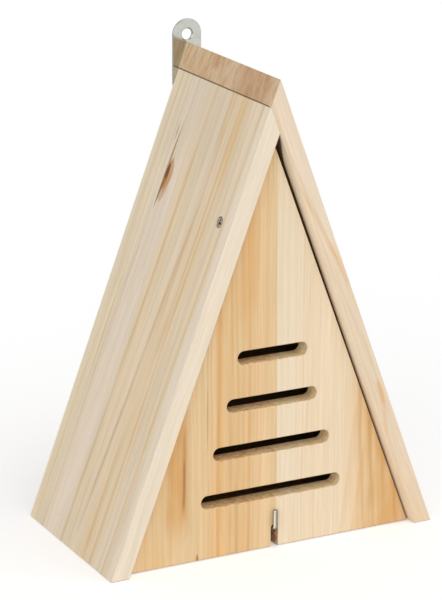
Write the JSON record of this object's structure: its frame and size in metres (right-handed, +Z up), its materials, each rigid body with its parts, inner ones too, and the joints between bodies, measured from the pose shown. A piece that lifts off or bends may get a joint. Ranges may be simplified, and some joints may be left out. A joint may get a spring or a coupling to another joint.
{
  "type": "ladybug house",
  "caption": "Triangular wooden insect shelter with a slotted front panel that swings out on top screws, a turning latch hook and a metal hanging tab.",
  "frame": {"origin": "middle of the whole depth and width, on the plane that the house stands on", "axes": "+X to the right seen from the front, +Y from the slotted front to the back with the hanging tab, +Z up"},
  "size_m": [0.2338, 0.1288, 0.3248],
  "materials": {
    "roof_wood": "planed, untreated pale softwood",
    "warm_stave_wood": "planed, untreated warm softwood",
    "pale_stave_wood": "planed, untreated pale softwood",
    "inside_wood": "planed, untreated softwood",
    "zinc_screw": "zinc plated",
    "bright_hook": "bright plated",
    "plated_tab": "smooth plated",
    "nail_steel": "plain"
  },
  "bodies": {
    "house": {"left_roof_board": "roof_wood", "right_roof_board": "roof_wood", "floor_board": "inside_wood", "back_left_stave": "warm_stave_wood", "back_right_stave": "pale_stave_wood", "hanger_plate": "plated_tab", "hanger_screw_upper": "zinc_screw", "hanger_screw_lower": "zinc_screw", "ridge_nails": "nail_steel", "floor_pins_left": "nail_steel", "floor_pins_right": "nail_steel", "back_pins_left": "nail_steel", "back_pins_right": "nail_steel"},
    "front_panel": {"front_left_stave": "warm_stave_wood", "front_right_stave": "pale_stave_wood", "pivot_screw_left": "zinc_screw", "pivot_screw_right": "zinc_screw"},
    "latch": {"latch_hook": "bright_hook"}
  },
  "joints": [
    {"name": "front_swing", "type": "hinge", "parent": "house", "child": "front_panel", "pos_m": [0, -0.0494, 0.22], "axis": [-1, 0, 0], "range_deg": [0, 34]},
    {"name": "latch_turn", "type": "hinge", "parent": "house", "child": "latch", "pos_m": [0.0022, -0.0457, 0.0132], "axis": [0, 1, 0], "range_deg": [-180, 180]}
  ]
}
